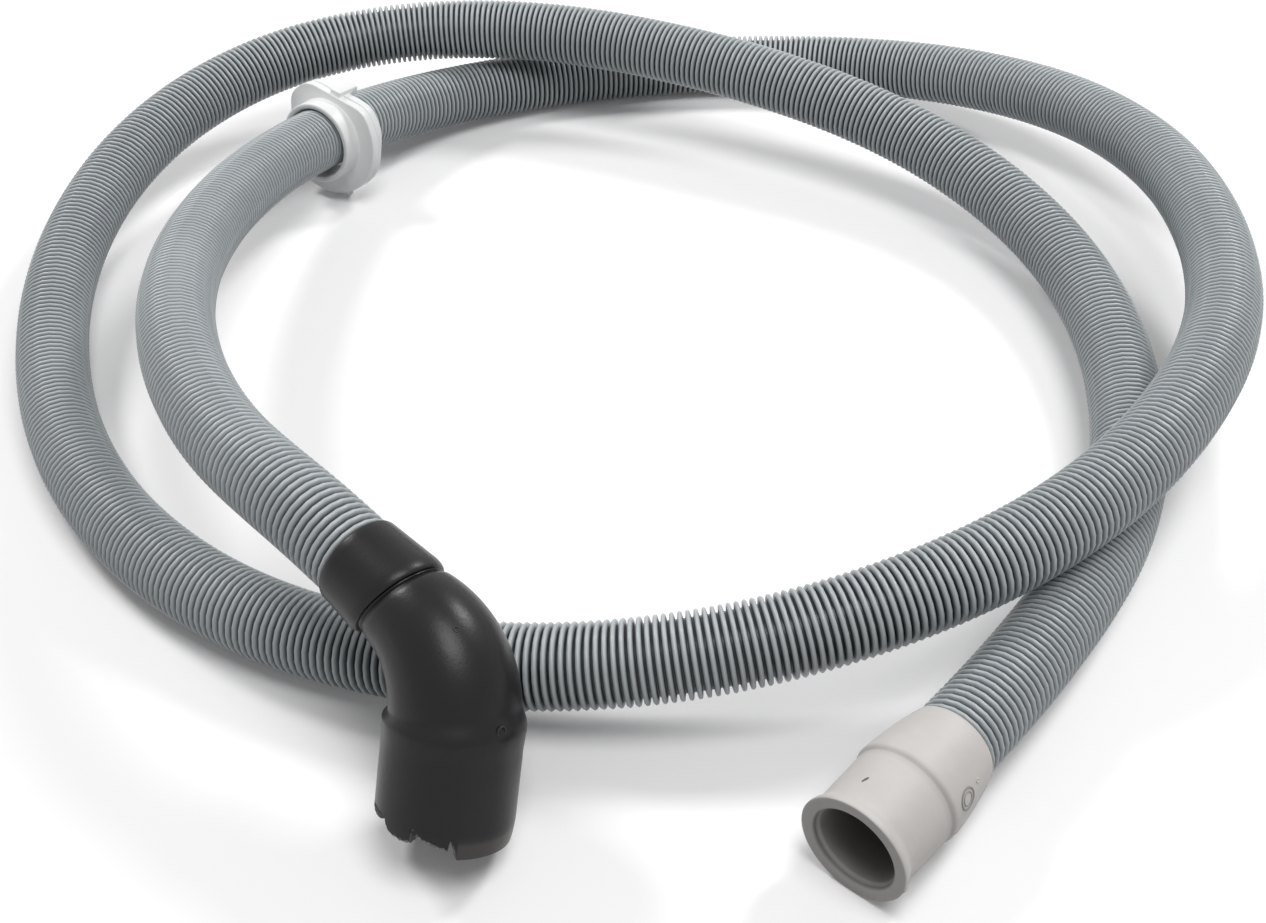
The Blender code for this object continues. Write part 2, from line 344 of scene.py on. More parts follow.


# Patches between two colours under a fine grain, and a third colour where the attribute says so: the torn
# rubber's own colour, painted bounce light on the elbow's rim and painted shade on the cuff
def finished(name, finish):
    material, tree, shader = newMaterial(name)
    link = tree.links.new
    where = addNode(tree, "ShaderNodeTexCoord").outputs["Object"]
    patches = noiseOn(tree, where, finish["patchSize"])
    fine = noiseOn(tree, where, finish["grainSize"], 4.0, 0.6)
    coarse = noiseOn(tree, where, finish["grainSize"] * grainFinish["coarserBy"], 2.0)
    patchShare = spreadRange(tree, patches, *grainFinish["patchSpread"])
    base = mixColours(tree, patchShare, finish["dark"], finish["pale"])
    base = mixColours(tree, spreadRange(tree, coarse, *grainFinish["grainSpread"]), base, finish["dark"])
    share = addNode(tree, "ShaderNodeAttribute", attribute_name="wearAndPaintedLight").outputs["Fac"]
    link(mixColours(tree, share, base, finish["wornAndPaintedLight"]), shader.inputs["Base Color"])
    link(spreadRange(tree, patches, *finish["roughness"]), shader.inputs["Roughness"])
    shader.inputs["Specular IOR Level"].default_value = finish["specular"]
    coarseBump = finish["bump"] * grainFinish["coarseBump"]
    rough = bumpFrom(tree, coarse, coarseBump, grainFinish["coarseHeight"])
    link(bumpFrom(tree, fine, finish["bump"], grainFinish["fineHeight"], rough), shader.inputs["Normal"])
    return material


# The ridges' colour varies along the hose, and the depth attribute of the grooves paints shade, near black,
# into what lies between them
def hosePlastic():
    material, tree, shader = newMaterial("hose_plastic_ribbed")
    link = tree.links.new
    where = addNode(tree, "ShaderNodeTexCoord").outputs["Object"]
    patches = noiseOn(tree, where, hoseFinish["patchSize"], 2.0)
    fine = noiseOn(tree, where, hoseFinish["grainSize"], 4.0, 0.6)
    patchShare = spreadRange(tree, patches, *hoseFinish["patchSpread"])
    base = mixColours(tree, patchShare, hoseFinish["ridge"], hoseFinish["ridgePale"])
    # Painted shade in the grooves: the deeper, the nearer to the near-black colour
    grooveDepthAndShade = addNode(tree, "ShaderNodeAttribute", attribute_name="grooveDepthAndShade").outputs["Fac"]
    depth = addNode(tree, "ShaderNodeMath", operation="POWER")
    feed(tree, depth.inputs, (grooveDepthAndShade, hoseFinish["grooveBite"]))
    link(mixColours(tree, depth.outputs[0], base, hoseFinish["grooveDepthAndShade"]), shader.inputs["Base Color"])
    link(spreadRange(tree, fine, *hoseFinish["roughness"]), shader.inputs["Roughness"])
    shader.inputs["Specular IOR Level"].default_value = hoseFinish["specular"]
    link(bumpFrom(tree, fine, hoseFinish["bump"], hoseFinish["bumpHeight"]), shader.inputs["Normal"])
    return material


ribbedPlastic = hosePlastic()
blackRubber = finished("elbow_rubber_worn", elbowFinish)
greyRubber = finished("cuff_rubber_soft", cuffFinish)
whitePlastic = finished("collar_plastic_white", collarFinish)
print("materials made")


# Rings along the guide curve: five for each rib and one to close the last, with two plain ones at each end
def ribbedHoseTree():
    ringsPerRib, endRings = 5.0, 2.0
    sizes = "ribPitch", "ribHeight", "radius", "endLength", "endRadius"
    shares = "bottomShare", "grooveShare", "shoulderDrop"
    tree = bpy.data.node_groups.new("ribbed hose", "GeometryNodeTree")
    face = tree.interface
    face.new_socket("Guide", in_out="INPUT", socket_type="NodeSocketGeometry")
    for name in sizes + shares:
        face.new_socket(name, in_out="INPUT", socket_type="NodeSocketFloat")
    face.new_socket("sidesAround", in_out="INPUT", socket_type="NodeSocketInt")
    face.new_socket("material", in_out="INPUT", socket_type="NodeSocketMaterial")
    face.new_socket("Hose", in_out="OUTPUT", socket_type="NodeSocketGeometry")
    link = tree.links.new
    given = addNode(tree, "NodeGroupInput").outputs

    def reckon(operation, *values):
        node = addNode(tree, "ShaderNodeMath", operation=operation)
        feed(tree, node.inputs, values)
        return node.outputs[0]

    def choose(index, values):
        node = addNode(tree, "GeometryNodeIndexSwitch", data_type="FLOAT")
        while len(node.index_switch_items) < len(values):
            node.index_switch_items.new()
        feed(tree, node.inputs, (index, *values))
        return node.outputs[0]

    def pick(condition, no, yes):
        node = addNode(tree, "GeometryNodeSwitch", input_type="FLOAT")
        feed(tree, node.inputs, (condition, no, yes))
        return node.outputs[0]

    guide = given["Guide"]
    measure = addNode(tree, "GeometryNodeCurveLength")
    link(guide, measure.inputs["Curve"])
    total = measure.outputs["Length"]
    ribbed = reckon("SUBTRACT", total, reckon("MULTIPLY", given["endLength"], 2.0))
    ribs = reckon("ROUND", reckon("DIVIDE", ribbed, given["ribPitch"]))
    pitch = reckon("DIVIDE", ribbed, ribs)
    lastRing = reckon("MULTIPLY", ribs, ringsPerRib)

    resample = addNode(tree, "GeometryNodeResampleCurve")
    link(guide, resample.inputs["Curve"])
    link(reckon("ADD", lastRing, 2.0 * endRings + 1.0), resample.inputs["Count"])

    # The place of each ring in its rib, and how deep it lies: bottom, shoulder, ridge, shoulder, bottom
    ringIndex = reckon("SUBTRACT", addNode(tree, "GeometryNodeInputIndex").outputs[0], endRings)
    rib = reckon("FLOOR", reckon("DIVIDE", ringIndex, ringsPerRib))
    step = reckon("SUBTRACT", ringIndex, reckon("MULTIPLY", rib, ringsPerRib))
    bottomSide = reckon("MULTIPLY", given["bottomShare"], 0.5)
    grooveSide = reckon("MULTIPLY", given["grooveShare"], 0.5)
    farSides = [reckon("SUBTRACT", 1.0, side) for side in (grooveSide, bottomSide)]
    share = choose(step, [bottomSide, grooveSide, 0.5, *farSides])
    grooveDepthAndShade = choose(step, [1.0, given["shoulderDrop"], 0.0, given["shoulderDrop"], 1.0])

    # The outermost rings lie at the guide's two ends
    along = reckon("ADD", given["endLength"], reckon("MULTIPLY", reckon("ADD", rib, share), pitch))
    along = pick(reckon("LESS_THAN", ringIndex, -1.5), along, 0.0)
    beyond = reckon("GREATER_THAN", ringIndex, reckon("ADD", lastRing, 1.5))
    along = pick(beyond, along, total)
    plainEnd = reckon(
        "ADD",
        reckon("LESS_THAN", ringIndex, -0.5),
        reckon("GREATER_THAN", ringIndex, reckon("ADD", lastRing, 0.5)),
    )
    ribRadius = reckon("SUBTRACT", given["radius"], reckon("MULTIPLY", grooveDepthAndShade, given["ribHeight"]))
    ringRadius = pick(plainEnd, ribRadius, given["endRadius"])

    sample = addNode(tree, "GeometryNodeSampleCurve", mode="LENGTH")
    link(guide, sample.inputs["Curves"])
    link(along, sample.inputs["Length"])
    place = addNode(tree, "GeometryNodeSetPosition")
    link(resample.outputs["Curve"], place.inputs["Geometry"])
    link(sample.outputs["Position"], place.inputs["Position"])
    # The depth share is kept for the material, which paints shade in the grooves with it
    store = addNode(tree, "GeometryNodeStoreNamedAttribute", data_type="FLOAT", domain="POINT", Name="grooveDepthAndShade")
    link(place.outputs["Geometry"], store.inputs["Geometry"])
    link(pick(plainEnd, grooveDepthAndShade, 0.0), store.inputs["Value"])

    circle = addNode(tree, "GeometryNodeCurvePrimitiveCircle", mode="RADIUS", Radius=1.0)
    link(given["sidesAround"], circle.inputs["Resolution"])
    skin = addNode(tree, "GeometryNodeCurveToMesh")
    skin.inputs["Fill Caps"].default_value = True
    link(store.outputs["Geometry"], skin.inputs["Curve"])
    link(circle.outputs["Curve"], skin.inputs["Profile Curve"])
    link(ringRadius, skin.inputs["Scale"])
    smooth = addNode(tree, "GeometryNodeSetShadeSmooth")
    link(skin.outputs["Mesh"], smooth.inputs["Geometry"])
    real = addNode(tree, "GeometryNodeRealizeInstances")
    link(smooth.outputs["Geometry"], real.inputs["Geometry"])
    finish = addNode(tree, "GeometryNodeSetMaterial")
    link(real.outputs["Geometry"], finish.inputs["Geometry"])
    link(given["material"], finish.inputs["Material"])
    link(finish.outputs["Geometry"], addNode(tree, "NodeGroupOutput").inputs["Hose"])
    return tree


def buildHose():
    curve = bpy.data.curves.new("drain_hose_ribbed", "CURVE")
    curve.dimensions = "3D"
    spline = curve.splines.new("POLY")
    places = pointsAlongHose(round((hoseEnd - hoseStart) / hose["guideStep"]))
    spline.points.add(len(places) - 1)
    for point, place in zip(spline.points, places):
        point.co = (*place, 1.0)
    guide = bpy.data.objects.new("drain_hose_ribbed", curve)
    tree = ribbedHoseTree()
    modifier = guide.modifiers.new("ribs", "NODES")
    modifier.node_group = tree
    for socket in tree.interface.items_tree:
        if socket.in_out == "INPUT" and socket.name in hose:
            modifier[socket.identifier] = hose[socket.name]
        elif socket.in_out == "INPUT" and socket.name == "material":
            modifier[socket.identifier] = ribbedPlastic
    scene.collection.objects.link(guide)
    piece = applied(guide)
    openEnds(piece.data)
    return piece


# Each flat end becomes a ring round a bore that follows the hose inwards
def openEnds(mesh):
    shape = bmesh.new()
    shape.from_mesh(mesh)
    for cap in [face for face in shape.faces if len(face.verts) > 4]:
        middle = cap.calc_center_median()
        atStart = (middle - hosePoint(hoseStart)[0]).length < hose["endRadius"]
        centre, way = hosePoint(hoseStart if atStart else hoseEnd)
        # A small inset gives the new ring, which then goes to the bore's own radius
        bmesh.ops.inset_region(shape, faces=[cap], thickness=0.0002, use_even_offset=True)
        for vert in cap.verts:
            vert.co = centre + (vert.co - centre).normalized() * hose["boreRadius"]
        spokes = [vert.co - centre for vert in cap.verts]
        for step in range(hose["boreSteps"]):
            depth = hose["boreDepth"] * (step + 1) / hose["boreSteps"]
            grown = bmesh.ops.extrude_discrete_faces(shape, faces=[cap])["faces"][0]
            place, turned = hosePoint(hoseStart + depth if atStart else hoseEnd - depth)
            turn = way.rotation_difference(turned)
            for vert, spoke in zip(grown.verts, spokes):
                vert.co = place + turn @ spoke
            cap = grown
    bmesh.ops.recalc_face_normals(shape, faces=shape.faces)
    shape.to_mesh(mesh)
    shape.free()
    mesh.shade_smooth()
    mesh.set_sharp_from_angle(angle=math.radians(hose["sharpAngle"]))


hosePiece = buildHose()
print("ribbed hose: %d faces" % len(hosePiece.data.polygons))


studio = {
    "floorReach": 6.0,
    "floorSeen": (0.98, 0.975, 0.98),
    "floorColour": (0.50, 0.50, 0.51),
    "floorGlow": 0.05,
    "glowReach": (0.45, 1.50),
    "ambient": 0.27,
    "backLeft": (14.5, 0.50, (-1.15, 0.85, 1.45)),
    "backRight": (14.5, 0.50, (1.15, 0.85, 1.45)),
    "front": (14.0, 0.90, (0.34, -0.55, 1.65)),
}


# 1 for the rays that show the background: seen by the camera, in glass or in a reflection
def seenShare(tree):
    path = addNode(tree, "ShaderNodeLightPath")
    share = path.outputs["Is Camera Ray"]
    for other in ("Is Transmission Ray", "Is Glossy Ray"):
        either = addNode(tree, "ShaderNodeMath", operation="MAXIMUM")
        tree.links.new(share, either.inputs[0])
        tree.links.new(path.outputs[other], either.inputs[1])
        share = either.outputs[0]
    return share


def buildFloor():
    mesh = bpy.data.meshes.new("floor")
    side = studio["floorReach"]
    corners = [(-side, -side, 0), (side, -side, 0), (side, side, 0), (-side, side, 0)]
    mesh.from_pydata(corners, [], [(0, 1, 2, 3)])
    floor = bpy.data.objects.new("floor", mesh)
    scene.collection.objects.link(floor)
    material, tree, shader = newMaterial("floor_paper")
    link = tree.links.new
    seen = seenShare(tree)
    link(mixColours(tree, seen, studio["floorColour"], studio["floorSeen"]), shader.inputs["Base Color"])
    shader.inputs["Roughness"].default_value = 0.9
    shader.inputs["Specular IOR Level"].default_value = 0.0
    shader.inputs["Emission Color"].default_value = (1.0, 1.0, 1.0, 1.0)
    # Far from the coil, where the lamps don't reach, the floor stays as white as the world
    away = addNode(tree, "ShaderNodeVectorMath", operation="LENGTH")
    link(addNode(tree, "ShaderNodeTexCoord").outputs["Object"], away.inputs[0])
    strength = spreadRange(tree, away.outputs["Value"], studio["floorGlow"], 1.0, studio["glowReach"])
    glow = addNode(tree, "ShaderNodeMath", operation="MULTIPLY")
    feed(tree, glow.inputs, (seen, strength))
    link(glow.outputs[0], shader.inputs["Emission Strength"])
    mesh.materials.append(material)


def buildWorld():
    world = bpy.data.worlds.new("world")
    world.use_nodes = True
    scene.world = world
    tree = world.node_tree
    back = tree.nodes["Background"]
    back.inputs["Color"].default_value = (1.0, 1.0, 1.0, 1.0)
    tree.links.new(spreadRange(tree, seenShare(tree), studio["ambient"], 1.0), back.inputs["Strength"])


# Round soft lamps that look at the origin: power, size and place
def buildLamps():
    for name in ("backLeft", "backRight", "front"):
        power, size, place = studio[name]
        light = bpy.data.lights.new(name, "AREA")
        light.shape = "DISK"
        light.size = size
        light.energy = power
        lamp = bpy.data.objects.new(name, light)
        lamp.location = place
        lamp.rotation_euler = (-Vector(place)).to_track_quat("-Z", "Y").to_euler()
        scene.collection.objects.link(lamp)


buildFloor()
buildWorld()
buildLamps()
print("studio made")


elbow = {
    "mouthRound": ((0.0, 0.0011), (0.0001, 0.0006), (0.0004, 0.0002), (0.0010, 0.0)),
    "sleeveLength": 0.0212,
    "sleeveRadii": (0.0134, 0.0143),
    "sleeveSlant": 0.0070,
    "slantFade": 0.0200,
    "lipLength": 0.0034,
    "lipDrop": 0.0011,
    "creaseRadius": 0.0126,
    "creaseWidth": 0.0003,
    "filletLength": 0.0026,
    "tubeRadius": 0.0129,
    "tubeLength": 0.0025,
    "bendRadius": 0.0268,
    "bendAngle": 67.5,
    "bendLean": 26.7,
    "shoulderRadius": 0.0174,
    "shoulderEarly": 0.0044,
    "shoulderLength": 0.0042,
    "ridgeRadius": 0.0189,
    "ridgeFade": 0.0060,
    "socketRadius": 0.0186,
    "socketLength": 0.0306,
    "rimRadius": 0.0179,
    "rimTaper": 0.0060,
    "rimRound": 0.0006,
    "boreRadius": 0.0145,
    "boreRound": 0.0003,
    "boreDepth": 0.0235,
    "wall": 0.0028,
    "stopEdges": (0.0008, 0.0006),
    "rimBand": 0.0135,
    # Painted bounce light from the floor: how far the intact rim's lower band goes to the lighter colour, and
    # where that band lies
    "rimBounceLight": 0.60,
    "rimBounceBand": (0.60, 0.12),
    "tearFade": 0.0012,
    "tornBevel": (0.0010, 0.0009),
    "tornRoughness": (0.00020, 0.00012, 0.00018),
    # Distance along, degrees round and radius of each moulded mark
    "ringMark": (0.0532, -169.8, 0.0013),
    "spotMark": (0.0355, -152.0, 0.0007),
    "markThickness": 0.00026,
    "sharpAngle": 50.0,
}
# Torn rim: angle round the socket in degrees, and how much of its height is gone
elbowTear = [
    (-142, 0.0), (-141, 0.0004), (-139.5, 0.0026), (-138, 0.0036), (-136.6, 0.0048), (-135.7, 0.0062),
    (-134.2, 0.0053), (-133.6, 0.0032), (-128.8, 0.0033), (-124, 0.0040), (-119, 0.0043), (-115, 0.0049),
    (-111, 0.0054), (-107.2, 0.0060), (-105.6, 0.0056), (-105, 0.0074), (-102, 0.0072), (-101.4, 0.0037),
    (-97, 0.0034), (-93, 0.0035), (-88, 0.0037), (-83, 0.0040), (-77.5, 0.0042), (-75.6, 0.0050),
    (-74, 0.0062), (-71.5, 0.0076), (-62, 0.0080), (-55, 0.0079), (-48, 0.0077), (-41, 0.0070),
    (-35, 0.0040), (-29, 0.0012), (-24, 0.0),
]


def buildElbow():
    mouth, way = hosePoint(0.0)
    way = -way
    level = way.cross(Vector((0, 0, 1))).normalized()
    if level.x > 0:
        level = -level
    down = way.cross(level).normalized()
    if down.z > 0:
        down = -down
    lean, turnAll = math.radians(elbow["bendLean"]), math.radians(elbow["bendAngle"])
    toward = down * math.cos(lean) + level * math.sin(lean)
    side = way.cross(toward).normalized()
    degrees = sorted(set(np.arange(-180, 180, 2.0)) | set(np.arange(-145, -22, 0.5)))
    angles = [math.radians(float(a)) for a in degrees]
    count = len(angles)
    chance = np.random.default_rng(11)

    # Chance heights round the rim, each one blended with its neighbours
    def unevenness(size):
        rough = chance.normal(0.0, size, count + 4)
        return np.convolve(rough, [0.15, 0.22, 0.26, 0.22, 0.15], "valid") * 2.0

    outlineRough, edgeRough, faceRough = elbow["tornRoughness"]
    lost = np.interp(degrees, [a for a, _ in elbowTear], [gone for _, gone in elbowTear], 0.0, 0.0)
    torn = np.clip(lost / elbow["tearFade"], 0.0, 1.0)
    intact = 1.0 - torn
    lost = lost + torn * unevenness(outlineRough)

    straight = elbow["sleeveLength"] + elbow["tubeLength"]
    bendLength = elbow["bendRadius"] * turnAll
    pivot = mouth + way * straight + toward * elbow["bendRadius"]

    def station(distance):
        if distance <= straight:
            return mouth + way * distance, way
        turn = min((distance - straight) / elbow["bendRadius"], turnAll)
        tangent = way * math.cos(turn) + toward * math.sin(turn)
        centre = pivot + (way * math.sin(turn) - toward * math.cos(turn)) * elbow["bendRadius"]
        return centre + tangent * max(distance - straight - bendLength, 0.0), tangent

    def ring(distance, radius):
        centre, tangent = station(distance)
        return ringOf(centre, side.cross(tangent), side, radius, angles)

    # The sleeve is shorter on the inner side of the bend, and the slant fades out along the tube
    def slantedRing(distance, radius):
        fade = distance / sleeve if distance < sleeve else 1.0 - (distance - sleeve) / elbow["slantFade"]
        slant = elbow["sleeveSlant"] * max(fade, 0.0)
        points = []
        for a in angles:
            centre, tangent = station(distance - slant * (1 + math.cos(a)) / 2)
            points.append(centre + (side.cross(tangent) * math.cos(a) + side * math.sin(a)) * radius)
        return points

    shoulder = straight + bendLength
    shoulderStart = shoulder - elbow["shoulderEarly"]
    rim = shoulder + elbow["socketLength"]
    boreEnd = rim - elbow["boreDepth"]
    bandTop = rim - elbow["rimBand"]
    sleeve, tube, wall = (elbow[key] for key in ("sleeveLength", "tubeRadius", "wall"))
    sleeveStart, sleeveEnd = elbow["sleeveRadii"]

    def tubeAt(distance):
        share = min(max(distance - sleeve, 0.0) / (shoulderStart - sleeve), 1.0)
        return tube + (elbow["shoulderRadius"] - tube) * math.sin(share * math.pi / 2)

    endCentre, endWay = station(rim)
    outward = [side.cross(endWay) * math.cos(a) + side * math.sin(a) for a in angles]
    rings, wearAndPaintedLight = [], []

    def add(points, wornAndPaintedLight=0.0):
        rings.append(points)
        wearAndPaintedLight.append(wornAndPaintedLight)

    def outerRadius(height):
        share = min(max(1.0 - height / elbow["rimTaper"], 0.0), 1.0)
        return elbow["socketRadius"] - (elbow["socketRadius"] - elbow["rimRadius"]) * share**1.6

    def rimRing(heights, radii, wornAndPaintedLight):
        add([endCentre - endWay * h + out * r for h, r, out in zip(heights, radii, outward)], list(wornAndPaintedLight))

    # The sleeve over the hose: a rounded mouth, a slow taper and a lip that rolls in
    for distance, less in elbow["mouthRound"]:
        add(slantedRing(distance, sleeveStart - less))
    mouthEnd = elbow["mouthRound"][-1][0]
    lip, lipDrop = elbow["lipLength"], elbow["lipDrop"]
    for share in np.linspace(0.12, 1.0, 8):
        distance = mouthEnd + (sleeve - lip - mouthEnd) * share
        add(slantedRing(distance, sleeveStart + (sleeveEnd - sleeveStart) * share))
    for roll in range(10, 91, 10):
        turn = math.radians(roll)
        add(slantedRing(sleeve - lip * (1 - math.sin(turn)), sleeveEnd - lipDrop * (1 - math.cos(turn))))

    # A crease after the lip, a fillet out of it, and the tube that widens round the bend
    crease, creaseWidth, fillet = (elbow[key] for key in ("creaseRadius", "creaseWidth", "filletLength"))
    for distance, radius in ((0.0001, crease + 0.0001), (creaseWidth, crease)):
        add(slantedRing(sleeve + distance, radius))
    for share in (0.15, 0.3, 0.5, 0.7, 0.85, 1.0):
        distance = sleeve + creaseWidth + fillet * share
        add(slantedRing(distance, crease + (tubeAt(distance) - crease) * math.sin(share * math.pi / 2)))
    for distance in np.linspace(sleeve + creaseWidth + fillet, shoulderStart, 38)[1:]:
        add(slantedRing(distance, tubeAt(distance)))

    # The shoulder up to its ridge, and down again to the socket
    rise = elbow["ridgeRadius"] - elbow["shoulderRadius"]
    for share in (0.08, 0.18, 0.32, 0.5, 0.68, 0.82, 0.92, 1.0):
        distance = shoulderStart + elbow["shoulderLength"] * share
        add(ring(distance, elbow["shoulderRadius"] + rise * eased(share)))
    flank = shoulderStart + elbow["shoulderLength"]
    fall = elbow["ridgeRadius"] - elbow["socketRadius"]
    for share in (0.15, 0.35, 0.6, 0.85, 1.0):
        add(ring(flank + elbow["ridgeFade"] * share, elbow["ridgeRadius"] - fall * eased(share)))
    flank = flank + elbow["ridgeFade"]
    for share in (0.3, 0.65):
        add(ring(flank + (bandTop - flank) * share, elbow["socketRadius"]))

    # The band before the rim follows the torn outline more and more, and its intact part gets a lighter
    # colour there, painted bounce light from the floor
    bounceStart, bounceSpan = elbow["rimBounceBand"]
    for share in (0.0, 0.2, 0.4, 0.52, 0.62, 0.72, 0.8, 0.87, 0.93, 0.97, 1.0):
        heights = elbow["rimBand"] * (1.0 - share) + lost * share
        wornAndPaintedLight = np.clip((share - bounceStart) / bounceSpan, 0.0, 1.0) * intact * elbow["rimBounceLight"]
        rimRing(heights, [outerRadius(h) for h in heights], wornAndPaintedLight)

    # The rim's edge: rounded where it is intact, bevelled and rough where it is torn; the intact edge keeps
    # the painted bounce light, the torn one takes the torn rubber's own colour
    edge = np.array([outerRadius(h) for h in lost])
    bevelIn, bevelDown = elbow["tornBevel"]
    for roll in (30, 60, 90):
        share = roll / 90
        inward = elbow["rimRound"] * (1 - math.cos(math.radians(roll))) * intact + bevelIn * share * torn
        sunk = np.minimum(bevelDown * share + unevenness(edgeRough), lost) * torn
        rimRing(lost - sunk, edge - inward, elbow["rimBounceLight"] * intact + torn)
    bore, boreRound = elbow["boreRadius"], elbow["boreRound"]
    edge = edge - elbow["rimRound"] * intact - bevelIn * torn
    inner = np.maximum(lost - bevelDown * torn, 0.0)
    for share in (0.3, 0.6, 0.9):
        heights = np.maximum(inner + torn * unevenness(faceRough), 0.0)
        rimRing(heights, edge + (bore + boreRound - edge) * share, 0.25 * intact + 0.8 * torn)
    rimRing(inner + boreRound, np.full(count, bore), 0.4 * torn)

    # The bore to its floor, the waterway back round the bend, and the seat of the hose's end
    for distance, radius in (
        (bandTop, bore),
        (boreEnd + 0.0005, bore),
        (boreEnd, bore - 0.0004),
        (boreEnd, elbow["shoulderRadius"] - wall),
    ):
        add(ring(distance, radius))
    for share in np.linspace(1.0, 0.08, 12):
        outer = tube + (elbow["shoulderRadius"] - tube) * share
        add(ring(straight + bendLength * share, outer - wall - 0.0003))
    seat = hose["endRadius"] + hose["clearance"]
    stopStart, stopEnd = (hose["endLength"] + past for past in elbow["stopEdges"])
    for distance, radius in ((stopStart, tube - wall), (stopEnd, seat), (0.0, seat)):
        add(ring(distance, radius))
    piece = loftRings("elbow_boot_torn", rings, blackRubber, wearAndPaintedLight)
    piece.data.set_sharp_from_angle(angle=math.radians(elbow["sharpAngle"]))

    # Two moulded rings that follow the rubber's surface
    marks = []
    for name in ("ringMark", "spotMark"):
        along, degreesRound, size = elbow[name]
        centre, tangent = station(along)
        a = math.radians(degreesRound)
        past = min(max(along - shoulderStart, 0.0) / elbow["shoulderLength"], 1.0)
        radius = tubeAt(along) + rise * eased(past)
        loop = []
        for i in range(24):
            turn = math.tau * i / 24
            spin = a + math.sin(turn) * size / radius
            spoke = side.cross(tangent) * math.cos(spin) + side * math.sin(spin)
            loop.append((centre + tangent * math.cos(turn) * size + spoke * radius, spoke))
        marks.append(beadAlong(name, loop, elbow["markThickness"], blackRubber, 0.25))
    takeIn(piece, marks)
    return piece


elbowPiece = buildElbow()
print("elbow: %d faces" % len(elbowPiece.data.polygons))


cuff = {
    "length": 0.0457,
    "coneLength": 0.0225,
    "mouthRadius": 0.0129,
    "coneRadius": 0.0161,
    "coneBulge": 0.17,
    "stepLength": 0.0013,
    "bodyRadii": (0.0153, 0.0150),
    "rimRadius": 0.0163,
    "rimRound": 0.0007,
    "flareLength": 0.0046,
    "boreRadius": 0.0126,
    "boreDepth": 0.0225,
    "waterway": 0.0090,
    "stopGap": 0.0006,
    # The rim's edge: distance back from it, radius less than the rim's, and share of the dark colour
    "rimEdge": [(0.0002, 0.00002, 0.10), (0.00004, 0.00012, 0.25), (0.0, 0.0003, 0.40)],
    # The face and the inner lip: distance back from the rim, radius more than the bore's, and share of the
    # dark colour
    "lip": [
        (0.0, 0.0024, 0.44), (0.00005, 0.0005, 0.44), (0.0003, 0.0001, 0.65),
        (0.0010, 0.0, 0.85), (0.0016, -0.0001, 0.60), (0.0020, -0.0005, 0.45),
        (0.0026, -0.0007, 0.60), (0.0080, -0.0008, 0.85), (0.0140, -0.0009, 1.0),
    ],
    "sidesAround": 144,
    "sharpAngle": 50.0,
    "partingAngle": -12.0,
    "partingWidth": 0.05,
    "partingHeight": 0.00035,
    # Distance along, degrees round, two half sizes, twist in degrees, thickness and share of the dark colour
    "marks": {
        "ringMark": (0.0162, 17.0, 0.0030, 0.0030, 0.0, 0.00030, 0.70),
        "innerRing": (0.0162, 17.0, 0.0019, 0.0019, 0.0, 0.00022, 0.60),
        "dotMark": (0.0102, 22.0, 0.0005, 0.0005, 0.0, 0.00028, 0.0),
        # Painted shade: a dark bead where the nick's crease lies in shade
        "nick": (0.0352, 107.8, 0.0010, 0.0002, 19.5, 0.00016, 1.0),
    },
}


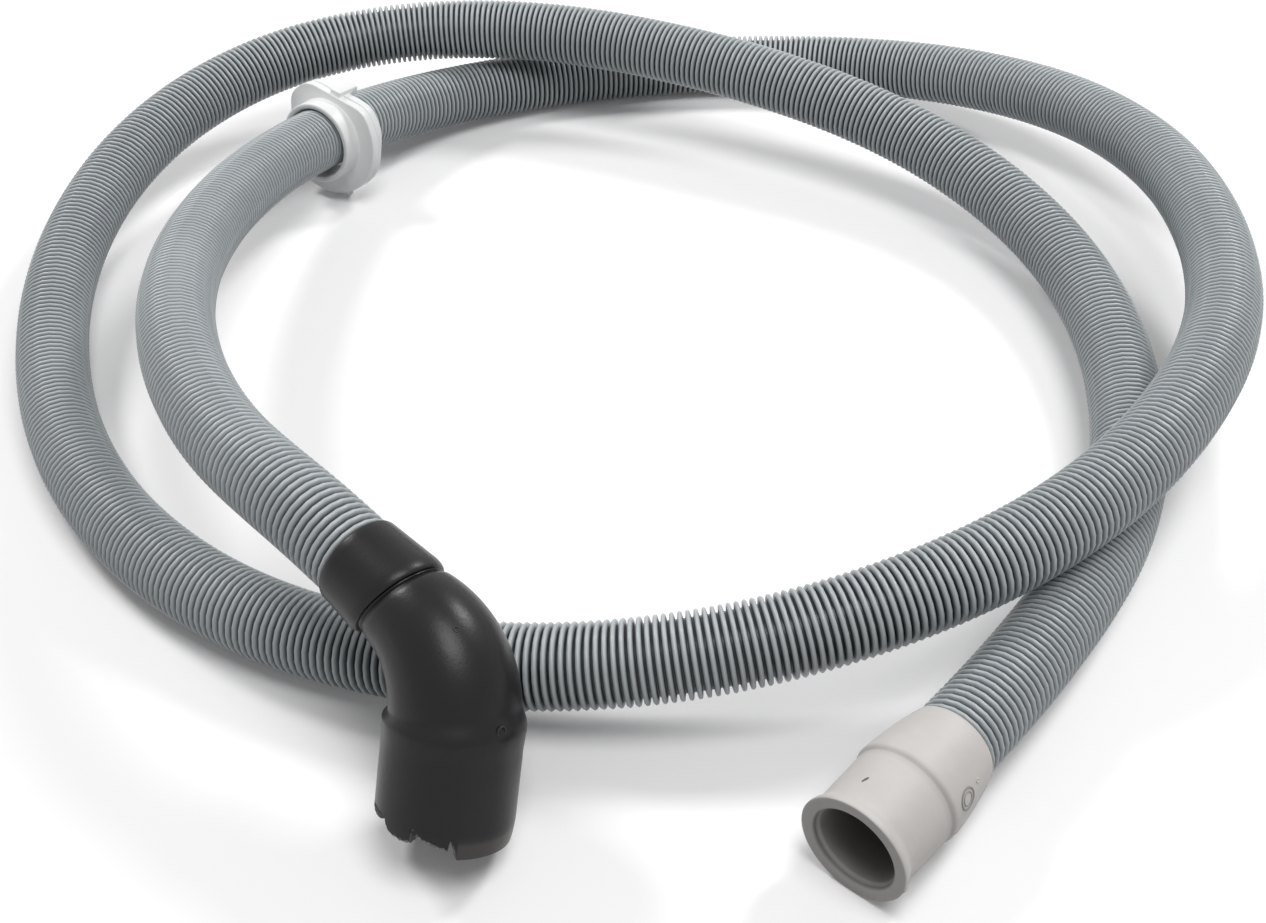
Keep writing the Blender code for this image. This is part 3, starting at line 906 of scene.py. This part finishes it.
def buildCuff():
    mouth, way = hosePoint(visibleLength)
    up = (Vector((0, 0, 1)) - way * way.z).normalized()
    across = up.cross(way)
    count = cuff["sidesAround"]
    angles = [math.tau * i / count for i in range(count)]
    length, cone, rimRadius, bore = (cuff[key] for key in ("length", "coneLength", "rimRadius", "boreRadius"))
    flare = length - cuff["flareLength"]
    bodyStart, bodyEnd = cuff["bodyRadii"]
    mouthRadius, coneRadius, step, waterway = (
        cuff[key] for key in ("mouthRadius", "coneRadius", "stepLength", "waterway")
    )

    def coneAt(distance):
        share = distance / cone
        bulge = cuff["coneBulge"] * 4 * share * (1 - share)
        return mouthRadius + (coneRadius - mouthRadius) * (share + bulge)

    # Rows of distance along, radius and share of the dark third colour: first the mouth over the hose and the
    # cone
    profile = [
        (0.0, mouthRadius - 0.0008, 0.3),
        (0.0001, mouthRadius - 0.0003, 0.2),
        (0.0006, coneAt(0.0006), 0.0),
    ]
    mouthRows = len(profile)
    for share in np.linspace(0.08, 0.94, 12):
        profile.append((cone * share, coneAt(cone * share), 0.0))

    # The step down from the cone, with painted shade on its band, the body and the flare to the rim
    profile += [
        (cone - 0.0007, coneRadius - 0.00005, 0.0),
        (cone - 0.0002, coneRadius - 0.0002, 0.05),
        (cone + step * 0.25, coneRadius - 0.0005, 0.30),
        (cone + step * 0.7, bodyStart + 0.00012, 0.34),
        (cone + step, bodyStart, 0.10),
    ]
    for share in np.linspace(0.1, 1.0, 9):
        distance = cone + step + (flare - cone - step) * share
        profile.append((distance, bodyStart + (bodyEnd - bodyStart) * share, 0.0))
    for share in np.linspace(0.1, 1.0, 10):
        distance = flare + (cuff["flareLength"] - cuff["rimRound"]) * share
        profile.append((distance, bodyEnd + (rimRadius - bodyEnd) * eased(share), 0.0))
    profile += [(length - back, rimRadius - less, wornAndPaintedLight) for back, less, wornAndPaintedLight in cuff["rimEdge"]]
    outerRows = len(profile)

    # The inner lip, the bore to its floor, the waterway and the seat of the hose's end
    profile += [(length - back, bore + more, wornAndPaintedLight) for back, more, wornAndPaintedLight in cuff["lip"]]
    floorOfBore = length - cuff["boreDepth"]
    stop, seat = hose["endLength"] + cuff["stopGap"], hose["endRadius"] + hose["clearance"]
    profile += [
        (floorOfBore + 0.0005, bore - 0.0010, 0.95),
        (floorOfBore, bore - 0.0014, 1.0),
        (floorOfBore, waterway + 0.0004, 1.0),
        (floorOfBore - 0.0004, waterway, 1.0),
        (stop, waterway, 1.0),
        (stop, seat, 0.0),
        (0.0, seat, 0.0),
    ]

    # The parting line is a low crest along the outside
    parting = math.radians(cuff["partingAngle"])
    gaps = [abs((a - parting + math.pi) % math.tau - math.pi) for a in angles]
    crest = [max(0.0, 1.0 - gap / cuff["partingWidth"]) for gap in gaps]
    rings = []
    for i, (distance, radius, _) in enumerate(profile):
        raised = cuff["partingHeight"] if mouthRows < i < outerRows else 0.0
        radii = [radius + raised * share for share in crest]
        rings.append(ringOf(mouth + way * distance, across, up, radii, angles))
    piece = loftRings("end_cuff_soft", rings, greyRubber, [wornAndPaintedLight for _, _, wornAndPaintedLight in profile])
    piece.data.set_sharp_from_angle(angle=math.radians(cuff["sharpAngle"]))

    # Beads that follow the outside: two rings, a dot and a dark bead along the nick, painted shade of its
    # crease
    marks = []
    outerDistances = [distance for distance, _, _ in profile[:outerRows]]
    outerRadii = [radius for _, radius, _ in profile[:outerRows]]
    for name, (along, degreesRound, long, wide, twist, thickness, wornAndPaintedLight) in cuff["marks"].items():
        radiusThere = float(np.interp(along, outerDistances, outerRadii))
        cosine, sine = math.cos(math.radians(twist)), math.sin(math.radians(twist))
        loop = []
        for i in range(40):
            turn = math.tau * i / 40
            one, two = math.cos(turn) * long, math.sin(turn) * wide
            distance = along + one * cosine - two * sine
            spin = math.radians(degreesRound) + (one * sine + two * cosine) / radiusThere
            spoke = across * math.cos(spin) + up * math.sin(spin)
            radius = float(np.interp(distance, outerDistances, outerRadii))
            loop.append((mouth + way * distance + spoke * radius, spoke))
        marks.append(beadAlong(name, loop, thickness, greyRubber, wornAndPaintedLight))
    takeIn(piece, marks)
    return piece


cuffPiece = buildCuff()
print("cuff: %d faces" % len(cuffPiece.data.polygons))


collar = {
    "along": 0.3255,
    "drop": 0.0010,
    "sideways": 0.0004,
    "tilt": 5.0,
    "tiltAxis": 121.0,
    "bore": 0.0143,
    "neckRadius": 0.0166,
    "neckLength": 0.0078,
    "plateRadius": 0.0238,
    "plateThickness": 0.0036,
    "discRadius": 0.0236,
    "discThickness": 0.0039,
    "plateFlats": [(77.0, 0.0193), (180.0, 0.0187)],
    "discFlats": [(77.0, 0.0196), (180.0, 0.0192), (-5.0, 0.0224)],
    "cornerPasses": 14,
    "neckEdge": 0.0007,
    "plateEdge": 0.0005,
    "seamEdge": 0.0003,
    "backEdge": 0.0006,
    "blockEdge": 0.0006,
    "latchAngle": 78.0,
    "latchSize": (0.0050, 0.0216, 0.0125),
    "latchStart": (0.0012, 0.0006),
    "footSize": (0.0150, 0.0254, 0.0030),
    "footInset": 0.0004,
    "sidesAround": 180,
    "sharpAngle": 40.0,
}


def roundedBlock(name, pose, low, high, bevel):
    shape = bmesh.new()
    bmesh.ops.create_cube(shape, size=1.0)
    low, high = Vector(low), Vector(high)
    for vert in shape.verts:
        vert.co = Vector(low[i] + (high[i] - low[i]) * (vert.co[i] + 0.5) for i in range(3))
    bmesh.ops.bevel(shape, geom=shape.edges, offset=bevel, segments=4, profile=0.5, affect="EDGES")
    mesh = bpy.data.meshes.new(name)
    shape.to_mesh(mesh)
    shape.free()
    mesh.shade_smooth()
    mesh.transform(pose)
    block = bpy.data.objects.new(name, mesh)
    scene.collection.objects.link(block)
    return block


# Radii of a round outline that is cut by flats, never inside the neck
def flattened(radius, flats, angles):
    radii = []
    for angle in angles:
        reach = radius
        for flatAngle, flatReach in flats:
            facing = math.cos(angle - math.radians(flatAngle))
            if facing > 0.2:
                reach = min(reach, flatReach / facing)
        radii.append(max(reach, collar["neckRadius"] + 0.0004))
    smooth = np.array(radii)
    for _ in range(collar["cornerPasses"]):
        smooth = (np.roll(smooth, 1) + smooth * 2 + np.roll(smooth, -1)) / 4
    return list(smooth)


def buildCollar():
    centre, way = readAlong(collar["along"])
    up = (Vector((0, 0, 1)) - way * way.z).normalized()
    across = up.cross(-way)
    axis = math.radians(collar["tiltAxis"])
    turned = Matrix.Rotation(-math.radians(collar["tilt"]), 3, across * math.cos(axis) + up * math.sin(axis))
    way = (turned @ way).normalized()
    up = (Vector((0, 0, 1)) - way * way.z).normalized()
    across = up.cross(-way)
    centre = centre - Vector((0, 0, collar["drop"])) + across * collar["sideways"]
    count = collar["sidesAround"]
    angles = [math.tau * i / count for i in range(count)]
    plate = flattened(collar["plateRadius"], collar["plateFlats"], angles)
    disc = flattened(collar["discRadius"], collar["discFlats"], angles)
    neck, bore = collar["neckRadius"], collar["bore"]
    neckEnd = -collar["neckLength"]
    plateBack = collar["plateThickness"]
    discBack = plateBack + collar["discThickness"]

    def ring(distance, radii):
        return ringOf(centre + way * distance, across, up, radii, angles)

    # Rings round an outer edge: sign 1 where the face looks to the neck's side, -1 to the back
    def rounded(distance, radii, edge, sign):
        rows = []
        for roll in (0, 30, 60, 90):
            turn = math.radians(roll)
            less, shift = edge * (1 - math.sin(turn)), edge * (1 - math.cos(turn))
            rows.append(ring(distance + shift * sign, [r - less for r in radii]))
        return rows if sign > 0 else rows[::-1]

    rings = [ring(neckEnd + 0.0002, bore + 0.0003), ring(neckEnd, bore + 0.0006)]
    # The neck with a fillet where it meets the plate
    rings += rounded(neckEnd, [neck] * count, collar["neckEdge"], 1.0)
    for distance, more in ((-0.0010, 0.0), (-0.0005, 0.0001), (-0.0002, 0.0003), (-0.0001, 0.0005)):
        rings.append(ring(distance, [min(neck + more, r - 0.0004) for r in plate]))

    # The plate, a fine seam, the disc behind it and the bore
    seamEdge = collar["seamEdge"]
    rings += rounded(0.0, plate, collar["plateEdge"], 1.0)
    rings += rounded(plateBack, plate, seamEdge, -1.0)
    seam = [min(r, d) - seamEdge for r, d in zip(plate, disc)]
    rings += [ring(plateBack + 0.0001, seam), ring(plateBack + seamEdge, seam)]
    rings += rounded(plateBack + seamEdge, disc, seamEdge, 1.0)
    rings += rounded(discBack, disc, collar["backEdge"], -1.0)
    rings += [ring(discBack, bore + 0.0005), ring(discBack - 0.0004, bore), ring(neckEnd + 0.0007, bore)]
    piece = loftRings("hose_collar_white", rings, whitePlastic)
    piece.data.set_sharp_from_angle(angle=math.radians(collar["sharpAngle"]))

    # The latch on top and the foot below, joined to the body
    pose = Matrix((across, up, -way)).transposed().to_4x4()
    pose.translation = centre
    width, reach, far = collar["latchSize"]
    above, inside = collar["latchStart"]
    latchPose = pose @ Matrix.Rotation(math.radians(collar["latchAngle"] - 90.0), 4, "Z")
    low, high = (-width / 2, neck + above, -far), (width / 2, reach, -inside)
    latch = roundedBlock("latch", latchPose, low, high, collar["blockEdge"])
    width, reach, thickness = collar["footSize"]
    footBack = -discBack + collar["footInset"]
    low, high = (-width / 2, -reach, footBack), (width / 2, -neck, footBack + thickness)
    foot = roundedBlock("foot", pose, low, high, collar["blockEdge"])
    for tool in (latch, foot):
        union = piece.modifiers.new(tool.name, "BOOLEAN")
        union.operation = "UNION"
        union.solver = "EXACT"
        union.object = tool
    piece = applied(piece)
    for tool in (latch, foot):
        bpy.data.objects.remove(tool)
    piece.data.materials.clear()
    piece.data.materials.append(whitePlastic)
    return piece


collarPiece = buildCollar()
print("collar: %d faces" % len(collarPiece.data.polygons))


for piece, node, slotName in (
    (hosePiece, "drain_hose", "hose_plastic"),
    (elbowPiece, "elbow_boot", "elbow_rubber"),
    (cuffPiece, "end_cuff", "cuff_rubber"),
    (collarPiece, "hose_collar", "collar_plastic"),
):
    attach(piece, "root")
    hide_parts(node)

tuple(hosePoint(0.0)[0])
[tuple(place) for place in pointsAlongHose(400)]
